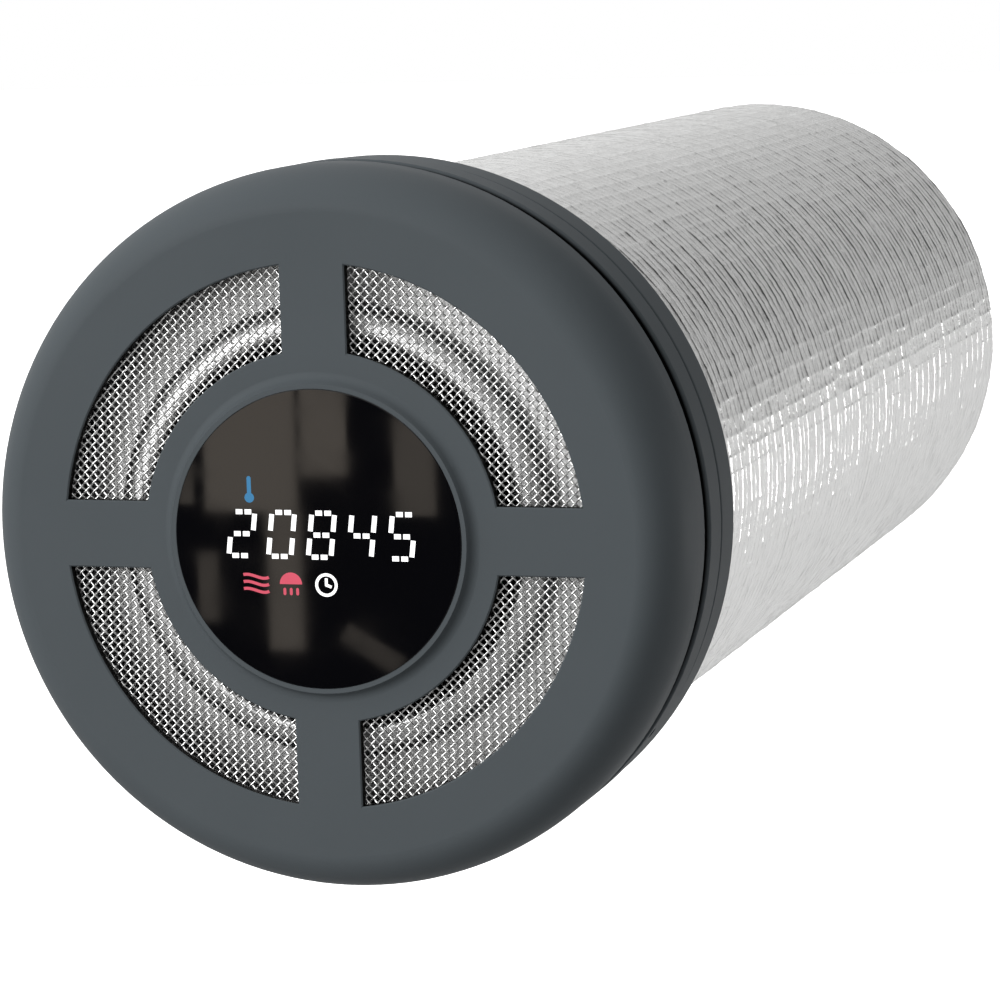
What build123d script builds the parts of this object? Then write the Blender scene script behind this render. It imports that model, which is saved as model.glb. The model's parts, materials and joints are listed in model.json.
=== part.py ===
from build123d import *
import os
from math import cos, degrees, radians, sin, tan

# Through-wall heat-recovery ventilator: a round room hood on a foil-wrapped duct that holds a
# finned counterflow exchanger between two axial fans.
#
# Frame: millimetres, +Y runs along the duct from the room to the outdoors, +Z is up and the hood
# faces -Y. The origin is on the duct's axis, in the plane where the hood rests on the wall.
# Depths are Y values. Radii are measured from the duct's axis.

# ---------------------------------------------------------------- driving dimensions
DUCT_RADIUS = 100.0
DUCT_LENGTH = 490.0
HOOD_RADIUS = 109.0
HOOD_DEPTH = 66.0
WALL = 3.0
BOARD = 1.6
FIT_GAP = 0.1
MOVING_GAP = 0.5
TAP_DEPTH = 10.0
OUTER_FILLET = 0.8

# duct, from the inside out
PIPE_INNER = 86.0
PIPE_OUTER = 89.0
FOIL = 0.2
SLEEVE_RADIUS = DUCT_RADIUS - FOIL
COLLAR_LENGTH = 8.0
TAPE_WIDTH = 48.0
TAPE_THICKNESS = 0.15
TAPE_START = 205.0

# hood cover
FRONT = -HOOD_DEPTH
FACE_RADIUS = 96.0
SHOULDER = FRONT + 22.0
COVER_BACK = FRONT + 29.0
SHOULDER_PULL = 0.56
FACE_BACK = FRONT + WALL
WINDOW_INNER = 55.5
WINDOW_OUTER = 81.1
SPOKE_WIDTH = 20.3
WINDOW_EDGE = 0.4
DISPLAY_HOLE = 43.2
SKIRT_INNER = 93.0
SKIRT_OUTER = 95.0
SKIRT_BACK = FRONT + 22.0

# magnetic catches that hold the cover on the hood base
CATCH_COUNT = 4
CATCH_START = 45.0
CATCH_RADIUS = 100.0
POST_RADIUS = 5.4
CATCH_PLANE = FRONT + 26.0
MAGNET_RADIUS = 4.0
MAGNET_THICKNESS = 3.0
KEEPER_THICKNESS = 1.5

# display puck
PUCK_FRONT = FRONT - 2.8
PUCK_TOP = 46.0
PUCK_FOOT = 49.2
PUCK_NECK = (PUCK_TOP + 0.9, FRONT - 1.3)
PUCK_FLARE = (PUCK_TOP + 1.7, FRONT - 0.5)
GLASS_RADIUS = 44.5
GLASS_FRONT = FRONT - 3.0
GLASS_THICKNESS = 2.4
GLASS_BACK = GLASS_FRONT + GLASS_THICKNESS
GLASS_CHAMFER = 0.15
REFLECTOR = (68.0, 40.0, 2.0)
SPIGOT_INNER = 41.0
SPIGOT_OUTER = 43.0
BOARD_BACK = FRONT + 7.1
BOARD_FRONT = BOARD_BACK - BOARD
DISPLAY_BOARD_RADIUS = 40.7
SCREW_GRID = (46.0, 60.0)
SCREW_BOSS = 3.6
SMALL_SCREW = 1.2
SMALL_HEAD = 2.2
SMALL_HEAD_HEIGHT = 1.6
SMALL_SCREW_LENGTH = 4.5

# lit marks, inlaid in the glass
INLAY = 0.4
DIGITS = "20845"
DIGIT_PITCH = 12.5
DIGIT_WIDTH = 8.6
DIGIT_HEIGHT = 14.6
SEGMENT = 1.5
SEGMENT_GAP = 0.35
DIGIT_SLANT = 7.0
DIGIT_CENTRE = (1.4, 1.4)
ICON_ROW = -13.4
ICON_LINE = 0.9
WAVE_X = -19.6
SHOWER_X = -8.7
CLOCK_X = 2.4
CLOCK_RADIUS = 3.5
CLOCK_HANDS = ((0.0, 2.0), (0.0, 0.0), (1.6, -0.6))
WAVE_ROWS = (-2.1, 0.0, 2.1)
WAVE_SHAPE = ((-4.0, 0.45), (-2.0, 0.5), (0.0, 0.0), (2.0, -0.5), (4.0, -0.2))
SHOWER_RADIUS = 3.5
SHOWER_JETS = (-2.0, 0.0, 2.0)
SHOWER_JET_LENGTH = 2.2
THERMOMETER = (-20.8, 15.4)
THERMOMETER_STEM = (6.4, 1.3)
THERMOMETER_BULB = 1.5

# woven intake mesh and its clamps
MESH_INNER = 50.0
MESH_OUTER = 89.0
MESH_THICKNESS = 1.1
MESH_PITCH = 7.0
MESH_BAR = 1.2
MESH_BACK = FACE_BACK + MESH_THICKNESS
CLAMP_BACK = MESH_BACK + 2.0
CLAMP_WIDTH = 4.0
CLAMP_OUTER = 90.0
CLAMP_OUTER_WIDTH = 8.0

# display strip and its spring contacts
STRIP_WIDTH = 12.0
STRIP_START = 30.0
STRIP_END = 101.0
STRIP_BACK = BOARD_BACK + 1.0
CONTACT_RADIUS = 98.0
CONTACT_COUNT = 4
CONTACT_PITCH = 2.54
PAD_THICKNESS = 0.2
PAD_SIZE = (4.0, 1.6)
PIN_RADIUS = 0.6
POGO_SIZE = (6.0, 13.0)
SKIRT_SLOT = (4.0, 16.0)

# hood base and wall flange
SLOT = 7.5
BASE_FRONT = COVER_BACK + SLOT
BASE_BACK = -16.5
FLOOR_FRONT = BASE_BACK - WALL
FLOOR_INNER = 83.0
FLANGE_RADIUS = 108.5
FLANGE_FRONT = -14.0
SEAM_SPIGOT = 3.0
FLANGE_FLOOR = -WALL
PIPE_SPIGOT = 12.0
GASKET_INNER = 101.0
GASKET_OUTER = 106.0
GASKET_THICKNESS = 1.5
SCREW = 2.0
SCREW_HEAD = 3.6
SCREW_HEAD_HEIGHT = 2.4
BASE_BOSS = 4.5
BASE_SCREW_RADIUS = 94.5
BASE_SCREW_START = 67.5
FLANGE_SCREW_RADIUS = 94.5
FLANGE_SCREW_START = 22.5
LOCK_ANGLE = -36.0
LOCK_DEPTH = BASE_FRONT + 4.5
LOCK_HOLE = 1.7
LOCK_SOCKET = 0.95
CABLE_PASS_ANGLE = 215.0
GROMMET_HOLE = 4.4
GROMMET_BORE = 3.0
GROMMET_LIP = 5.4
GROMMET_INNER = 1.6

# intake bell and fans; the fan is drawn at the room end and turned round for the outdoor end
BELL_SHEET = 1.2
THROAT = 57.5
LIP_INNER = 3.5
LIP_OUTER = 8.5
LIP_CREST = STRIP_BACK + MOVING_GAP
LIP_RADIUS = THROAT + LIP_INNER
BELL_FRONT = LIP_CREST + LIP_OUTER
BELL_RIM = SKIRT_INNER - MOVING_GAP
BELL_LIP = 8.0
THROAT_SEAM = LIP_CREST + LIP_INNER + 4.0
FAN_FRONT = FRONT + 34.0
BELL_POST_START = 22.5
BELL_POST_RADIUS = 86.5
BELL_POST = 4.0
BELL_SCREW_LENGTH = 8.0
HOUSING_OUTER = 60.0
SOCKET_OUTER = 61.2
SOCKET_FRONT = THROAT_SEAM - 3.0
HOUSING_BACK = FAN_FRONT + 60.0
IMPELLER_RADIUS = THROAT - 0.9
BLADE_COUNT = 7
BLADE_FRONT = FAN_FRONT + 7.0
BLADE_BACK = FAN_FRONT + 33.0
BLADE_THICKNESS = 1.8
ROOT_PITCH = 46.0
TIP_PITCH = 24.0
ROOT_FILL = 0.82
TIP_FILL = 0.62
CUP_OUTER = 24.0
CUP_INNER = 21.8
CUP_WALL = 2.5
CUP_FILLET = 3.0
CUP_FRONT = FAN_FRONT + 4.0
CUP_BACK = FAN_FRONT + 38.0
SHAFT_RADIUS = 2.0
SHAFT_BOSS = 4.5
SHAFT_FRONT = CUP_FRONT + 1.0
SHAFT_BACK = FAN_FRONT + 49.5
SHAFT_CHAMFER = 0.4
RUNNING_FIT = 0.04
MAGNET_RING_INNER = 19.8
MAGNET_RING = (FAN_FRONT + 10.0, FAN_FRONT + 35.0)
BEARING_TUBE = 6.5
BEARING_OUTER = 5.0
BEARING_LENGTH = 4.0
BEARING_TUBE_FRONT = FAN_FRONT + 11.0
BOSS_BACK = BEARING_TUBE_FRONT - 2 * MOVING_GAP
STATOR_RADIUS = 18.8
STATOR_HUB = 9.0
STATOR_POLES = 9
POLE_WIDTH = 4.0
POLE_SHOE = 1.6
SHOE_WIDTH = 9.6
STATOR = (FAN_FRONT + 12.0, FAN_FRONT + 33.0)
MOTOR_PLATE = (FAN_FRONT + 50.0, FAN_FRONT + 54.0)
ARM_COUNT = 4
ARM_WIDTH = 5.0

# heat exchanger
EXCHANGER_START = HOUSING_BACK
END_PLATE = 3.0
EXCHANGER_END = DUCT_LENGTH - 100.0
CHANNELS = 24
FIN_THICKNESS = 0.4
CORE_INNER = 26.0
CORE_OUTER = 28.8
INNER_PORT = (33.0, 55.5)
OUTER_PORT = (65.0, 82.5)
PORT_HALF_ANGLE = 5.2
HEATER_RADIUS = 73.0
HEATER_ROD = 2.5
HEATER_DEPTH = 7.0
HEATER_STRAP = 3.0

# outdoor end
LEDGE_INNER = 78.0
GUARD_FRONT = DUCT_LENGTH - 6.0
GUARD_THICKNESS = 1.2
GUARD_PITCH = 9.0
GUARD_BAR = 1.4
GUARD_LEDGE = 2.0
GUARD_SCREW_RADIUS = 82.0
SUPPLY_BELL_ARC = 7.0

# electronics on the hood base
POWER_MODULE = (50.0, 15.0, 18.0)
POWER_Z = -94.0
CONTROL_BOARD = (60.0, 14.0)
CONTROL_Z = 93.5
CONTROL_STANDOFF = 3.0
CONTROL_FEET = (52.0, 3.0)
CHIPS = (
    ((9.0, 9.0, 2.0), -18.0),
    ((6.0, 6.0, 2.0), -4.0),
    ((12.0, 7.0, 5.0), 10.0),
    ((5.0, 5.0, 8.0), 22.0),
)
CASE_CORNER = 1.0
TERMINAL_BLOCK = (14.0, 33.0, 15.0)
TERMINAL_X = -95.0
TERMINAL_COUNT = 3
TERMINAL_PITCH = 10.0
TERMINAL_SCREW_DEPTH = 3.0
SCREW_SLOT = 0.8

ROOM_END = Location((0, 0, 0))
OUTDOOR_END = Location((0, EXCHANGER_START + EXCHANGER_END, 0), (0, 0, 180))


os.makedirs("parts", exist_ok=True)


# ---------------------------------------------------------------- helpers
def across(depth):
    """Plane across the duct at a depth. It reads as seen from the room and extrudes towards it."""
    return Plane.XZ.offset(-depth)


def wall_section(inner, outer, front, back):
    """Half-section of a plain ring, in the plane of radius (X) and depth (Y)."""
    with BuildSketch(Plane.XY) as section:
        with Locations(((inner + outer) / 2, (front + back) / 2)):
            Rectangle(outer - inner, back - front)
    return section.sketch


def outline_section(points):
    """Half-section of a turned part from its corner points (radius, depth)."""
    with BuildSketch(Plane.XY) as section:
        with BuildLine():
            Polyline(*points, close=True)
        make_face()
    return section.sketch


def save(piece, name):
    piece.label = name
    export_step(piece, f"parts/{name}.step")


def screw(head_radius, head_height, shank_radius, shank_length):
    """Pan-head screw along Y with a cross recess: its head rests on Y = 0 and faces the room."""
    with BuildPart() as pan:
        revolve(wall_section(0, head_radius, -head_height, 0), axis=Axis.Y)
        fillet(pan.edges().filter_by(GeomType.CIRCLE).group_by(Axis.Y)[0], head_height * 0.45)
        revolve(wall_section(0, shank_radius, 0, shank_length), axis=Axis.Y)
        with BuildSketch(across(-head_height / 2)):
            Rectangle(head_radius, head_radius * 0.25)
            Rectangle(head_radius * 0.25, head_radius)
        extrude(amount=head_height, mode=Mode.SUBTRACT)
    return pan.part


def screws_on_circle(solid, radius, depth, start):
    """Four equal screws on a circle about the duct's axis."""
    with BuildPart() as group:
        for index in range(4):
            angle = radians(start + 90 * index)
            with Locations((radius * cos(angle), depth, radius * sin(angle))):
                add(solid)
    return group.part


# ---------------------------------------------------------------- hood cover
def dome_section(inset):
    """Half-section of the cover's dome, moved inwards by the wall thickness given."""
    radius = HOOD_RADIUS - inset
    face = FACE_RADIUS - inset / 3
    front = FRONT + inset
    with BuildSketch(Plane.XY) as section:
        with BuildLine():
            Line((0, front), (face, front))
            Bezier(
                (face, front),
                (face + (radius - face) * SHOULDER_PULL, front),
                (radius, SHOULDER + (front - SHOULDER) * SHOULDER_PULL),
                (radius, SHOULDER),
            )
            Polyline((radius, SHOULDER), (radius, COVER_BACK), (0, COVER_BACK), (0, front))
        make_face()
    return section.sketch


with BuildPart() as front_cover:
    revolve(dome_section(0), axis=Axis.Y)
    revolve(dome_section(WALL), axis=Axis.Y, mode=Mode.SUBTRACT)
    # skirt that seals round the bell, and four posts that carry the catch magnets
    revolve(wall_section(SKIRT_INNER, SKIRT_OUTER, FACE_BACK, SKIRT_BACK), axis=Axis.Y)
    with BuildSketch(across(CATCH_PLANE)):
        with PolarLocations(CATCH_RADIUS, CATCH_COUNT, start_angle=CATCH_START):
            Circle(POST_RADIUS)
    extrude(amount=CATCH_PLANE - FRONT)
    revolve(dome_section(0), axis=Axis.Y, mode=Mode.INTERSECT)
    with BuildSketch(across(CATCH_PLANE)):
        with PolarLocations(CATCH_RADIUS, CATCH_COUNT, start_angle=CATCH_START):
            Circle(MAGNET_RADIUS + FIT_GAP)
    extrude(amount=MAGNET_THICKNESS, mode=Mode.SUBTRACT)
    with BuildSketch(across(FACE_BACK)):
        Circle(DISPLAY_HOLE)
    extrude(amount=WALL, mode=Mode.SUBTRACT)
    with BuildSketch(across(FACE_BACK)):
        Circle(WINDOW_OUTER)
        Circle(WINDOW_INNER, mode=Mode.SUBTRACT)
        Rectangle(2 * HOOD_RADIUS, SPOKE_WIDTH, mode=Mode.SUBTRACT)
        Rectangle(SPOKE_WIDTH, 2 * HOOD_RADIUS, mode=Mode.SUBTRACT)
    extrude(amount=WALL, mode=Mode.SUBTRACT)
    window_rims = front_cover.edges().group_by(Axis.Y)[0]
    chamfer(window_rims.filter_by(lambda edge: edge.center().length > GLASS_RADIUS), WINDOW_EDGE)
    # slot in the skirt for the display strip
    with BuildSketch(across(SKIRT_BACK)):
        with Locations(((SKIRT_INNER + SKIRT_OUTER) / 2, 0)):
            Rectangle(*SKIRT_SLOT)
    extrude(amount=SKIRT_BACK - FACE_BACK, mode=Mode.SUBTRACT)
save(front_cover.part, "front_cover")

with BuildPart() as cover_magnets:
    with BuildSketch(across(CATCH_PLANE)):
        with PolarLocations(CATCH_RADIUS, CATCH_COUNT, start_angle=CATCH_START):
            Circle(MAGNET_RADIUS)
    extrude(amount=MAGNET_THICKNESS)
save(cover_magnets.part, "cover_magnets")


# ---------------------------------------------------------------- display puck
with BuildPart() as display_bezel:
    with BuildSketch(Plane.XY):
        with BuildLine():
            Polyline(
                (PUCK_FOOT, FRONT),
                (SPIGOT_OUTER, FRONT),
                (SPIGOT_OUTER, BOARD_BACK),
                (SPIGOT_INNER, BOARD_BACK),
                (SPIGOT_INNER, GLASS_BACK),
                (GLASS_RADIUS + FIT_GAP, GLASS_BACK),
                (GLASS_RADIUS + FIT_GAP, PUCK_FRONT),
                (PUCK_TOP, PUCK_FRONT),
                PUCK_NECK,
            )
            ThreePointArc(PUCK_NECK, PUCK_FLARE, (PUCK_FOOT, FRONT))
        make_face()
    revolve(axis=Axis.Y)
    with BuildSketch(across(BOARD_FRONT)):
        with GridLocations(*SCREW_GRID, 2, 2):
            Circle(SCREW_BOSS)
    extrude(amount=BOARD_FRONT - GLASS_BACK)
    with BuildSketch(across(BOARD_FRONT)):
        with GridLocations(*SCREW_GRID, 2, 2):
            Circle(SMALL_SCREW)
    extrude(amount=SMALL_SCREW_LENGTH - BOARD, mode=Mode.SUBTRACT)
save(display_bezel.part, "display_bezel")

SEVEN_SEGMENTS = {
    "0": "abcdef",
    "2": "abged",
    "4": "fgbc",
    "5": "afgcd",
    "8": "abcdefg",
}


def bar(start, end):
    """Straight lit bar with round ends, drawn slanted as the digits are."""
    slant = tan(radians(DIGIT_SLANT))
    with BuildSketch() as stroke:
        with BuildLine():
            Line((start[0] + slant * start[1], start[1]), (end[0] + slant * end[1], end[1]))
        trace(line_width=SEGMENT)
    return stroke.sketch


def digit_sketch(character):
    """One slanted digit about its own centre; flat segments are split in two halves."""
    side = (DIGIT_WIDTH - SEGMENT) / 2
    top = (DIGIT_HEIGHT - SEGMENT) / 2
    gap = SEGMENT / 2 + SEGMENT_GAP
    flat_rows = {"a": top, "g": 0.0, "d": -top}
    uprights = {"f": (-side, 1), "b": (side, 1), "e": (-side, -1), "c": (side, -1)}
    with BuildSketch() as digit:
        for name in SEVEN_SEGMENTS[character]:
            if name in flat_rows:
                height = flat_rows[name]
                add(bar((-side + gap, height), (-SEGMENT_GAP, height)))
                add(bar((SEGMENT_GAP, height), (side - gap, height)))
            else:
                x, way = uprights[name]
                add(bar((x, way * gap), (x, way * (top - gap / 2))))
    return digit.sketch


def row_of_digits():
    with BuildSketch() as row:
        for index, character in enumerate(DIGITS):
            x = DIGIT_CENTRE[0] + (index - (len(DIGITS) - 1) / 2) * DIGIT_PITCH
            with Locations((x, DIGIT_CENTRE[1])):
                add(digit_sketch(character))
    return row.sketch


def clock_icon():
    with BuildSketch() as icon:
        with Locations((CLOCK_X, ICON_ROW)):
            Circle(CLOCK_RADIUS)
            Circle(CLOCK_RADIUS - ICON_LINE, mode=Mode.SUBTRACT)
        with BuildLine():
            Polyline(*[(CLOCK_X + x, ICON_ROW + z) for x, z in CLOCK_HANDS])
        trace(line_width=ICON_LINE)
    return icon.sketch


def heat_icon():
    with BuildSketch() as icon:
        for row in WAVE_ROWS:
            with BuildLine():
                Spline(*[(WAVE_X + x, ICON_ROW + row + z) for x, z in WAVE_SHAPE])
            trace(line_width=ICON_LINE)
    return icon.sketch


def shower_icon():
    with BuildSketch() as icon:
        with Locations((SHOWER_X, ICON_ROW)):
            Circle(SHOWER_RADIUS)
            with Locations((0, -SHOWER_RADIUS)):
                Rectangle(2 * SHOWER_RADIUS, 2 * SHOWER_RADIUS, mode=Mode.SUBTRACT)
        for x in SHOWER_JETS:
            with Locations((SHOWER_X + x, ICON_ROW - SHOWER_JET_LENGTH)):
                SlotOverall(SHOWER_JET_LENGTH, ICON_LINE, rotation=90)
    return icon.sketch


def thermometer_icon():
    with BuildSketch() as icon:
        with Locations(THERMOMETER):
            SlotOverall(*THERMOMETER_STEM, rotation=90)
            with Locations((0, -THERMOMETER_STEM[0] / 2)):
                Circle(THERMOMETER_BULB)
    return icon.sketch


LIT_MARKS = {
    "display_digits": [row_of_digits()],
    "icon_white": [clock_icon()],
    "icons_pink": [heat_icon(), shower_icon()],
    "icon_blue": [thermometer_icon()],
}


def inlay(sketches):
    """Thin lit solids that fill pockets in the front of the glass."""
    with BuildPart() as marks:
        for sketch in sketches:
            with BuildSketch(across(GLASS_FRONT + INLAY)):
                add(sketch)
            extrude(amount=INLAY)
    return marks.part


marks = {name: inlay(sketches) for name, sketches in LIT_MARKS.items()}
for name, piece in marks.items():
    save(piece, name)

with BuildPart() as display_glass:
    revolve(wall_section(0, GLASS_RADIUS, GLASS_FRONT, GLASS_BACK), axis=Axis.Y)
    chamfer(display_glass.edges().filter_by(GeomType.CIRCLE).group_by(Axis.Y)[0], GLASS_CHAMFER)
    for piece in marks.values():
        add(piece, mode=Mode.SUBTRACT)
save(display_glass.part, "display_glass")

with BuildPart() as segment_block:
    with BuildSketch(across(BOARD_FRONT)):
        RectangleRounded(*REFLECTOR)
    extrude(amount=BOARD_FRONT - GLASS_BACK)
save(segment_block.part, "segment_block")

with BuildPart() as display_board:
    with BuildSketch(across(BOARD_BACK)):
        Circle(DISPLAY_BOARD_RADIUS)
        with GridLocations(*SCREW_GRID, 2, 2):
            Circle(SMALL_SCREW + FIT_GAP, mode=Mode.SUBTRACT)
    extrude(amount=BOARD)
save(display_board.part, "display_board")

board_screw = screw(SMALL_HEAD, SMALL_HEAD_HEIGHT, SMALL_SCREW, SMALL_SCREW_LENGTH)
with BuildPart() as display_screws:
    for x in (-SCREW_GRID[0] / 2, SCREW_GRID[0] / 2):
        for z in (-SCREW_GRID[1] / 2, SCREW_GRID[1] / 2):
            with Locations(Location((x, BOARD_BACK, z), (0, 0, 180))):
                add(board_screw)
save(display_screws.part, "display_screws")

with BuildPart() as display_strip:
    with BuildSketch(across(STRIP_BACK)):
        with Locations(((STRIP_START + STRIP_END) / 2, 0)):
            Rectangle(STRIP_END - STRIP_START, STRIP_WIDTH)
    extrude(amount=STRIP_BACK - BOARD_BACK)
save(display_strip.part, "display_strip")

with BuildPart() as contact_pads:
    with BuildSketch(across(STRIP_BACK + PAD_THICKNESS)):
        with Locations((CONTACT_RADIUS, 0)):
            with GridLocations(1, CONTACT_PITCH, 1, CONTACT_COUNT):
                Rectangle(*PAD_SIZE)
    extrude(amount=PAD_THICKNESS)
save(contact_pads.part, "contact_pads")


# ---------------------------------------------------------------- intake mesh
def lattice(radius, pitch, bar_width, angle):
    """Square lattice of bars inside a circle, turned by an angle."""
    count = 2 * int(radius / pitch) + 1
    with BuildSketch() as holes:
        with Locations(Location((0, 0, 0), (0, 0, angle))):
            with GridLocations(pitch, pitch, count, count):
                Rectangle(pitch - bar_width, pitch - bar_width)
    return holes.sketch


with BuildPart() as intake_mesh:
    with BuildSketch(across(MESH_BACK)):
        Circle(WINDOW_OUTER + WINDOW_EDGE)
        Circle(WINDOW_INNER - WINDOW_EDGE, mode=Mode.SUBTRACT)
        add(lattice(WINDOW_OUTER, MESH_PITCH, MESH_BAR, 45), mode=Mode.SUBTRACT)
        with BuildSketch(mode=Mode.ADD):
            Circle(MESH_OUTER)
            Circle(WINDOW_OUTER + WINDOW_EDGE, mode=Mode.SUBTRACT)
        with BuildSketch(mode=Mode.ADD):
            Circle(WINDOW_INNER - WINDOW_EDGE)
            Circle(MESH_INNER, mode=Mode.SUBTRACT)
    extrude(amount=MESH_THICKNESS)
save(intake_mesh.part, "intake_mesh")

with BuildPart() as mesh_clamp_outer:
    revolve(wall_section(CLAMP_OUTER - CLAMP_OUTER_WIDTH, CLAMP_OUTER, MESH_BACK, CLAMP_BACK), axis=Axis.Y)
save(mesh_clamp_outer.part, "mesh_clamp_outer")

with BuildPart() as mesh_clamp_inner:
    revolve(wall_section(MESH_INNER, MESH_INNER + CLAMP_WIDTH, MESH_BACK, CLAMP_BACK), axis=Axis.Y)
save(mesh_clamp_inner.part, "mesh_clamp_inner")


# ---------------------------------------------------------------- hood base
def tilted_radial(angle, depth):
    """Plane square to a radius of the hood, for a hole drilled from the rim towards the axis."""
    outward = (cos(radians(angle)), 0, sin(radians(angle)))
    origin = (HOOD_RADIUS * outward[0], depth, HOOD_RADIUS * outward[2])
    return Plane(origin=origin, x_dir=(0, 1, 0), z_dir=outward)


KEEPER_FRONT = CATCH_PLANE + MOVING_GAP
PAD_PLANE = STRIP_BACK + PAD_THICKNESS
PIN_TIP = PAD_PLANE + MOVING_GAP
CABLE_ENTRY = Plane(origin=(0, FLANGE_FRONT / 2, -FLANGE_RADIUS), x_dir=(1, 0, 0), z_dir=(0, 0, -1))
POGO_FRONT = PIN_TIP + 2.0
POGO_BACK = POGO_FRONT + 6.0

with BuildPart() as hood_base:
    revolve(wall_section(HOOD_RADIUS - WALL, HOOD_RADIUS, BASE_FRONT, BASE_BACK), axis=Axis.Y)
    revolve(wall_section(FLOOR_INNER, HOOD_RADIUS - WALL, FLOOR_FRONT, BASE_BACK), axis=Axis.Y)
    revolve(
        wall_section(
            FLANGE_RADIUS - WALL - SEAM_SPIGOT,
            FLANGE_RADIUS - WALL - FIT_GAP,
            BASE_BACK,
            FLANGE_FRONT + WALL,
        ),
        axis=Axis.Y,
    )
    outer_corners = hood_base.edges().filter_by(GeomType.CIRCLE).filter_by(
        lambda edge: edge.radius > HOOD_RADIUS - FIT_GAP
    )
    fillet(outer_corners, OUTER_FILLET)
    with BuildSketch(across(FLOOR_FRONT)):
        with PolarLocations(CATCH_RADIUS, CATCH_COUNT, start_angle=CATCH_START):
            Circle(POST_RADIUS)
    extrude(amount=FLOOR_FRONT - KEEPER_FRONT - KEEPER_THICKNESS)
    with BuildSketch(across(FLOOR_FRONT)):
        with PolarLocations(BELL_POST_RADIUS, 4, start_angle=BELL_POST_START):
            Circle(BELL_POST)
    extrude(amount=FLOOR_FRONT - BELL_FRONT - BELL_SHEET)
    with BuildSketch(across(FLOOR_FRONT)):
        with Locations((CONTACT_RADIUS, 0)):
            Rectangle(POGO_SIZE[0], POGO_SIZE[1])
    extrude(amount=FLOOR_FRONT - POGO_BACK)
    with BuildSketch(across(FLOOR_FRONT)):
        with Locations((0, CONTROL_Z)):
            with GridLocations(CONTROL_FEET[0], 1, 2, 1):
                Circle(CONTROL_FEET[1])
    extrude(amount=CONTROL_STANDOFF)
    # screw holes to the flange, the cable hole, a tapped hole in each bell post, the lock hole and
    # the seam spigot's notch round the cable grommet
    with BuildSketch(across(BASE_BACK)):
        with PolarLocations(BASE_SCREW_RADIUS, 4, start_angle=BASE_SCREW_START):
            Circle(SCREW + FIT_GAP)
        with PolarLocations(BASE_SCREW_RADIUS, 1, start_angle=CABLE_PASS_ANGLE):
            Circle(GROMMET_HOLE)
    extrude(amount=WALL, mode=Mode.SUBTRACT)
    with BuildSketch(across(BELL_FRONT + BELL_SHEET + TAP_DEPTH)):
        with PolarLocations(BELL_POST_RADIUS, 4, start_angle=BELL_POST_START):
            Circle(SMALL_SCREW)
    extrude(amount=TAP_DEPTH, mode=Mode.SUBTRACT)
    with BuildSketch(tilted_radial(LOCK_ANGLE, LOCK_DEPTH)):
        Circle(LOCK_HOLE)
    extrude(amount=-2 * WALL, mode=Mode.SUBTRACT)
    with BuildSketch(CABLE_ENTRY):
        Circle(GROMMET_LIP + FIT_GAP)
    extrude(amount=-2 * WALL - SEAM_SPIGOT, mode=Mode.SUBTRACT)
save(hood_base.part, "hood_base")

with BuildPart() as keeper_discs:
    with BuildSketch(across(KEEPER_FRONT + KEEPER_THICKNESS)):
        with PolarLocations(CATCH_RADIUS, CATCH_COUNT, start_angle=CATCH_START):
            Circle(MAGNET_RADIUS)
    extrude(amount=KEEPER_THICKNESS)
save(keeper_discs.part, "keeper_discs")

with BuildPart() as lock_screw:
    with BuildSketch(tilted_radial(LOCK_ANGLE, LOCK_DEPTH)):
        Circle(LOCK_HOLE - FIT_GAP)
    extrude(amount=-2 * WALL)
    with BuildSketch(tilted_radial(LOCK_ANGLE, LOCK_DEPTH)):
        Circle(LOCK_HOLE)
    extrude(amount=-WALL / 2, mode=Mode.SUBTRACT)
    with BuildSketch(tilted_radial(LOCK_ANGLE, LOCK_DEPTH)):
        RegularPolygon(LOCK_SOCKET, 6)
    extrude(amount=-WALL, mode=Mode.SUBTRACT)
save(lock_screw.part, "lock_screw")

with BuildPart() as wall_flange:
    revolve(wall_section(FLANGE_RADIUS - WALL, FLANGE_RADIUS, FLANGE_FRONT, 0), axis=Axis.Y)
    revolve(wall_section(FLOOR_INNER, FLANGE_RADIUS, FLANGE_FLOOR, 0), axis=Axis.Y)
    revolve(wall_section(FLOOR_INNER, PIPE_INNER - FIT_GAP, FLANGE_FLOOR, PIPE_SPIGOT), axis=Axis.Y)
    revolve(wall_section(GASKET_INNER, GASKET_OUTER, -GASKET_THICKNESS, 0), axis=Axis.Y, mode=Mode.SUBTRACT)
    with BuildSketch(across(FLANGE_FLOOR)):
        with PolarLocations(BASE_SCREW_RADIUS, 4, start_angle=BASE_SCREW_START):
            Circle(BASE_BOSS)
    extrude(amount=FLANGE_FLOOR - BASE_BACK)
    with BuildSketch(across(BASE_BACK + TAP_DEPTH)):
        with PolarLocations(BASE_SCREW_RADIUS, 4, start_angle=BASE_SCREW_START):
            Circle(SCREW + RUNNING_FIT)
    extrude(amount=TAP_DEPTH, mode=Mode.SUBTRACT)
    with BuildSketch(across(0)):
        with PolarLocations(FLANGE_SCREW_RADIUS, 4, start_angle=FLANGE_SCREW_START):
            Circle(SCREW + FIT_GAP)
    extrude(amount=WALL, mode=Mode.SUBTRACT)
    with BuildSketch(CABLE_ENTRY):
        Circle(GROMMET_HOLE)
    extrude(amount=2 * WALL, both=True, mode=Mode.SUBTRACT)
    rim = wall_flange.edges().filter_by(GeomType.CIRCLE).filter_by(
        lambda edge: edge.radius > FLANGE_RADIUS - FIT_GAP
    )
    fillet(rim.group_by(Axis.Y)[0], OUTER_FILLET)
save(wall_flange.part, "wall_flange")

with BuildPart() as wall_gasket:
    revolve(wall_section(GASKET_INNER, GASKET_OUTER, -GASKET_THICKNESS, 0), axis=Axis.Y)
save(wall_gasket.part, "wall_gasket")

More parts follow.
